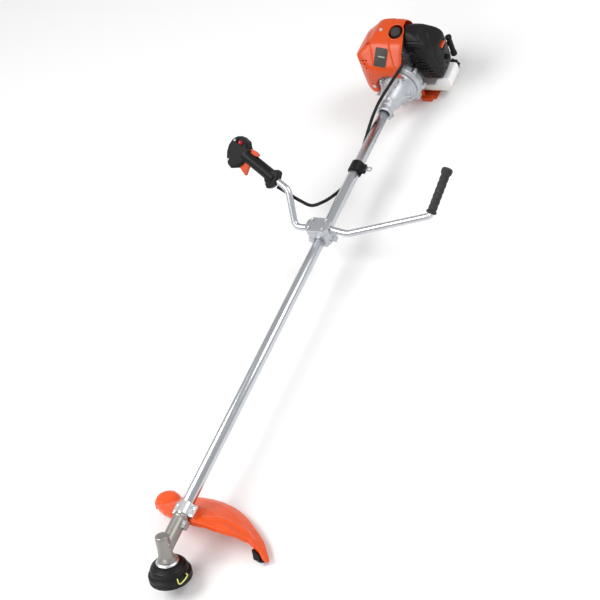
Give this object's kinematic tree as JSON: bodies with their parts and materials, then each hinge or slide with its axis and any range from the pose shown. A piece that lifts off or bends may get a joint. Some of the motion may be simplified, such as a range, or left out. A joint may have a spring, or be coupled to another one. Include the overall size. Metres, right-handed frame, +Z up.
{
  "type": "string trimmer",
  "caption": "Petrol string trimmer: long straight shaft, bull-horn handlebar, orange engine cover, fan-shaped guard and bump-feed string head.",
  "frame": {"origin": "on the flat underside of the engine's stand, straight below the shaft's axis, at the ground the trimmer lies on", "axes": "+Z up, -Y along the shaft from the engine to the string head, +X to the operator's left"},
  "size_m": [0.6297, 1.6955, 0.29],
  "materials": {
    "shroud": "orange moulded plastic, lightly glossy",
    "guard": "orange-red moulded plastic, lightly glossy",
    "black_plastic": "black moulded plastic, fine grain",
    "head_plastic": "black nylon, satin",
    "grip_rubber": "black soft rubber",
    "bulb_rubber": "clear soft rubber",
    "pipe": "drawn aluminium, bright",
    "cast_aluminium": "die-cast aluminium, fine grain",
    "gear_case": "dark cast aluminium",
    "sheet_metal": "plated sheet steel",
    "steel": "zinc-plated steel",
    "line": "yellow-green nylon",
    "label": "plain dark plate",
    "red_plastic": "red moulded plastic",
    "foam": "dark open-cell foam",
    "tank": "milky polyethylene"
  },
  "bodies": {
    "frame": {"shaft_tube": "pipe", "gear_case": "gear_case", "case_clamp_bolt": "steel", "spindle_bearing": "steel", "guard": "guard", "cutter_holder": "black_plastic", "line_cutter": "steel", "guard_clamp_plate": "sheet_metal", "guard_bracket": "sheet_metal", "harness_clip": "black_plastic", "harness_eyelet": "steel", "clamp_top": "cast_aluminium", "clamp_base": "cast_aluminium", "clamp_screw_1": "steel", "clamp_screw_2": "steel", "clamp_screw_3": "steel", "clamp_screw_4": "steel", "right_bar": "pipe", "left_bar": "pipe", "left_grip": "grip_rubber", "handle_shell_front": "black_plastic", "handle_shell_rear": "black_plastic", "throttle_cable": "black_plastic", "clutch_case": "cast_aluminium", "collar_bolt": "steel", "fan_housing": "cast_aluminium", "crankcase": "cast_aluminium", "cylinder": "cast_aluminium", "spark_plug": "steel", "plug_cap": "grip_rubber", "muffler": "sheet_metal", "engine_cover": "shroud", "label_plate": "label", "carburettor": "cast_aluminium", "air_filter": "foam", "air_cleaner_cover": "black_plastic", "recoil_housing": "black_plastic", "fuel_tank": "tank", "stand": "shroud"},
    "head": {"output_spindle": "steel", "bevel_gear": "steel", "dust_cover": "sheet_metal", "head_housing": "head_plastic", "head_spool": "head_plastic", "head_base": "head_plastic", "nylon_line": "line"},
    "bump_knob": {"bump_knob": "head_plastic"},
    "drive_line": {"drive_shaft": "steel", "bevel_pinion": "steel", "clutch_drum": "steel"},
    "engine_rotor": {"crankshaft": "steel", "flywheel": "steel"},
    "throttle_trigger": {"throttle_trigger": "shroud"},
    "lockout_lever": {"lockout_lever": "shroud"},
    "stop_switch": {"stop_switch": "red_plastic"},
    "choke_lever": {"choke_lever": "shroud"},
    "primer_bulb": {"primer_bulb": "bulb_rubber"},
    "starter_handle": {"starter_handle": "black_plastic"},
    "fuel_cap": {"fuel_cap": "black_plastic"},
    "cover_knob": {"cover_knob": "black_plastic"}
  },
  "joints": [
    {"name": "head_spin", "type": "hinge", "parent": "frame", "child": "head", "pos_m": [0, -1.52, 0.103], "axis": [0, 0.4099, 0.9121], "continuous": true},
    {"name": "bump_press", "type": "slide", "parent": "head", "child": "bump_knob", "axis": [0, 0.4099, 0.9121], "range_m": [0, 0.006], "stiffness_N_per_m": 900},
    {"name": "drive_shaft_spin", "type": "hinge", "parent": "frame", "child": "drive_line", "pos_m": [0, -0.8, 0.103], "axis": [0, 1, 0], "continuous": true},
    {"name": "crankshaft_spin", "type": "hinge", "parent": "frame", "child": "engine_rotor", "pos_m": [0, -0.02, 0.103], "axis": [0, 1, 0], "continuous": true},
    {"name": "throttle_squeeze", "type": "hinge", "parent": "frame", "child": "throttle_trigger", "pos_m": [-0.2098, -0.49735, 0.24065], "axis": [0, -0.7071, 0.7071], "range_deg": [0, 18], "stiffness_Nm_per_rad": 1.2},
    {"name": "lockout_press", "type": "hinge", "parent": "frame", "child": "lockout_lever", "pos_m": [-0.21272, -0.48448, 0.25352], "axis": [0, 0.7071, -0.7071], "range_deg": [0, 8], "stiffness_Nm_per_rad": 0.8},
    {"name": "stop_switch_slide", "type": "slide", "parent": "frame", "child": "stop_switch", "axis": [-0.8526, 0.3695, 0.3695], "range_m": [0, 0.0035]},
    {"name": "choke_turn", "type": "hinge", "parent": "frame", "child": "choke_lever", "pos_m": [0.095, 0.02, 0.165], "axis": [1, 0, 0], "range_deg": [0, 18]},
    {"name": "primer_press", "type": "slide", "parent": "frame", "child": "primer_bulb", "axis": [0, -1, 0], "range_m": [0, 0.003], "stiffness_N_per_m": 600},
    {"name": "starter_pull", "type": "slide", "parent": "frame", "child": "starter_handle", "axis": [1, 0, 0], "range_m": [0, 0.6], "stiffness_N_per_m": 20, "springref_m": -0.2},
    {"name": "fuel_cap_turn", "type": "hinge", "parent": "frame", "child": "fuel_cap", "pos_m": [0.088, 0.076, 0.039], "axis": [0, 1, 0], "range_deg": [0, 120]},
    {"name": "cover_knob_turn", "type": "hinge", "parent": "frame", "child": "cover_knob", "pos_m": [0.112, 0.018, 0.123], "axis": [1, 0, 0], "range_deg": [0, 90]}
  ],
  "couplings": [
    {"joint": "drive_shaft_spin", "follows": "head_spin", "ratio": -1.2667}
  ]
}
